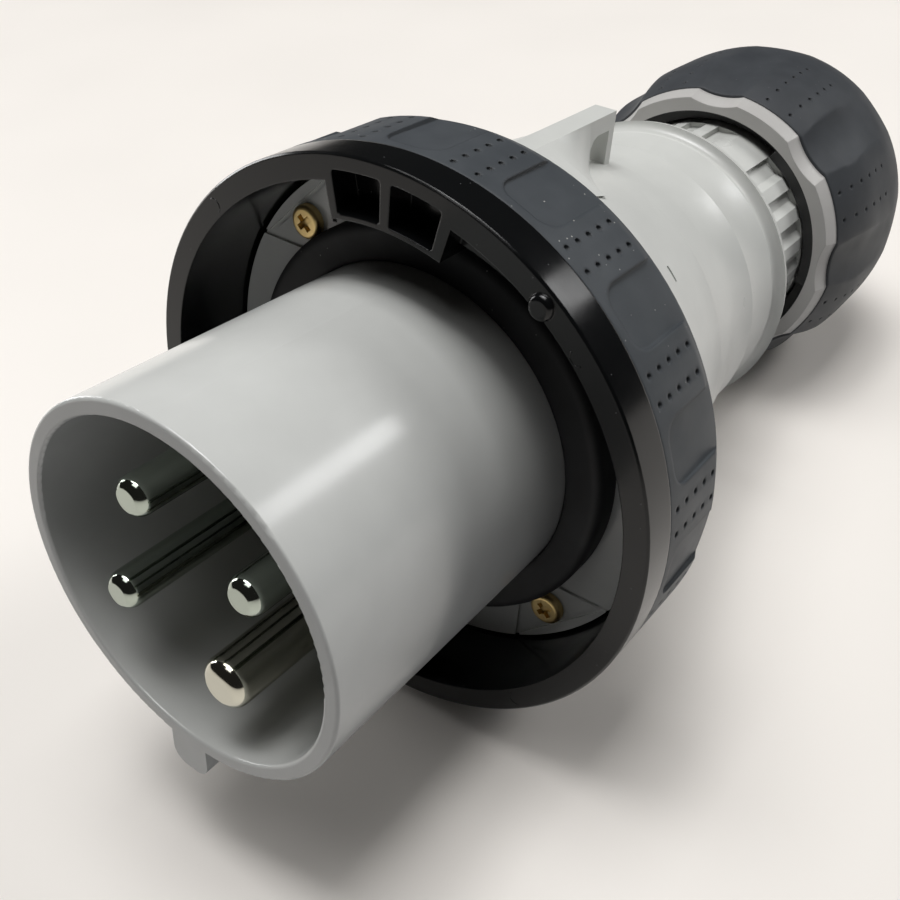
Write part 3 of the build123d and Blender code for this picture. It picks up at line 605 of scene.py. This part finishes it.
def half_round_mark():
    """Half a flat torus around the origin."""
    deselect()
    bpy.ops.mesh.primitive_torus_add(
        major_radius=MARK_RADIUS * MM,
        minor_radius=MARK_THICKNESS / 2 * MM,
        major_segments=28,
        minor_segments=8,
    )
    mark = bpy.context.object
    bpy.ops.object.mode_set(mode="EDIT")
    bpy.ops.mesh.select_all(action="SELECT")
    bpy.ops.mesh.bisect(plane_co=(0, 0, 0), plane_no=(0, 1, 0), clear_inner=True, use_fill=True)
    bpy.ops.mesh.select_all(action="SELECT")
    bpy.ops.transform.resize(value=MARK_FLATTENED)
    bpy.ops.object.mode_set(mode="OBJECT")
    return mark


# %% The three marks
mark_places = []
for clock, radius, spin in MARK_PLACES:
    seat = Matrix.Translation(Vector((0, radius, RING_FACE)) * MM) @ clock_turn(spin)
    mark_places.append(plug @ clock_turn(clock) @ seat)
marks = placed_copies(half_round_mark(), mark_places)
marks.name = "ring_face_marks"
marks.data.materials.append(ring_black)
smoothed(marks)
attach(marks, "ring")
print("marks:", len(mark_places))

# %% [markdown]
# ## Desk, light and camera
#
# The plug lies on a white desk. The desk keeps its full colour where the camera or a mirror
# sees it, and throws only half of that back at the plug, because the real desk is small and
# the room around it is dim. Light Path tells the two apart.

# %% Desk
DESK_SIZE = 6.0
DESK_WHITE = "#efeae4"
DESK_BOUNCE = "#ababad"

deselect()
bpy.ops.mesh.primitive_plane_add(size=DESK_SIZE, location=(0, 0, 0))
desk = bpy.context.object
desk.name = "desk"
desk_white, net, shader, place = finish_for("white_laminate_desk")
ray = add_node(net, "ShaderNodeLightPath").outputs
mirrored = computed(net, "ADD", ray["Is Glossy Ray"], ray["Is Transmission Ray"])
seen = computed(net, "ADD", ray["Is Camera Ray"], mirrored)
white = mixed(net, seen, linear(DESK_BOUNCE), linear(DESK_WHITE))
net.links.new(white, shader.inputs["Base Color"])
net.links.new(varied(net, place, 60.0, 0.5, 0.6), shader.inputs["Roughness"])
desk.data.materials.append(desk_white)

# %% [markdown]
# Six soft lamps stand for the room. Three make the ceiling, brightest straight above the
# plug. One stands low behind it at the left, as a far window would. The window that shows in
# the shine of the mouth tube is a small lamp of its own, and a larger lamp around it, which
# no shine mirrors, gives the light that comes in beside it.

# %% Lamps and world
LAMP_SIZE = (0.6, 0.6)
LAMP_DISTANCE = 1.4
ROOM_COLOUR = "#f1ece6"
ROOM_STRENGTH = 0.02


def soft_lamp(name, power, azimuth, elevation, size=LAMP_SIZE, distance=LAMP_DISTANCE, spin=0.0):
    """An area lamp that looks at the plug from a direction in degrees."""
    data = bpy.data.lights.new(name, "AREA")
    data.shape = "RECTANGLE"
    data.size, data.size_y = size
    data.energy = power
    lamp = bpy.data.objects.new(name, data)
    bpy.context.scene.collection.objects.link(lamp)
    turn = math.radians(azimuth)
    rise = math.radians(elevation)
    level = math.cos(rise)
    outward = Vector((math.cos(turn) * level, math.sin(turn) * level, math.sin(rise)))
    lamp.location = outward * distance
    facing = outward.to_track_quat("Z", "Y").to_matrix().to_4x4()
    lamp.rotation_euler = (facing @ Matrix.Rotation(math.radians(spin), 4, "Z")).to_euler()
    print("lamp:", name, power, "W")
    return lamp


soft_lamp("ceiling_middle", 7.9, 0.0, 89.0)
soft_lamp("ceiling_back", 5.9, 90.0, 75.0)
soft_lamp("ceiling_front", 2.4, 180.0, 75.0)
soft_lamp("far_window", 8.1, 90.0, 15.0)
soft_lamp("window", 2.2, -32.7, 36.3, size=(0.5, 0.22), distance=1.3, spin=-41.5)
around = soft_lamp("around_window", 5.4, -30.0, 35.0)
around.visible_glossy = False

world = bpy.data.worlds.new("dim_room")
world.use_nodes = True
bpy.context.scene.world = world
background = world.node_tree.nodes["Background"].inputs
background["Color"].default_value = linear(ROOM_COLOUR)
background["Strength"].default_value = ROOM_STRENGTH

# %% [markdown]
# The camera stands where the photograph was taken: close, above the mouth, with a short lens
# and slightly rolled. Its place is in millimetres and its turn in degrees.

# %% Camera
CAMERA_PLACE = (-157.27, -90.59, 157.49)
CAMERA_TURN = (50.382, 2.726, -53.507)
LENS = 43.268
SENSOR = 36.0
NEAREST = 5.0

camera_data = bpy.data.cameras.new("phone_camera")
camera_data.lens = LENS
camera_data.sensor_width = SENSOR
camera_data.clip_start = NEAREST * MM
camera = bpy.data.objects.new("phone_camera", camera_data)
bpy.context.scene.collection.objects.link(camera)
camera.location = Vector(CAMERA_PLACE) * MM
camera.rotation_euler = [math.radians(angle) for angle in CAMERA_TURN]
bpy.context.scene.camera = camera
bpy.context.scene.view_settings.view_transform = "Standard"
print("camera:", CAMERA_PLACE, LENS)
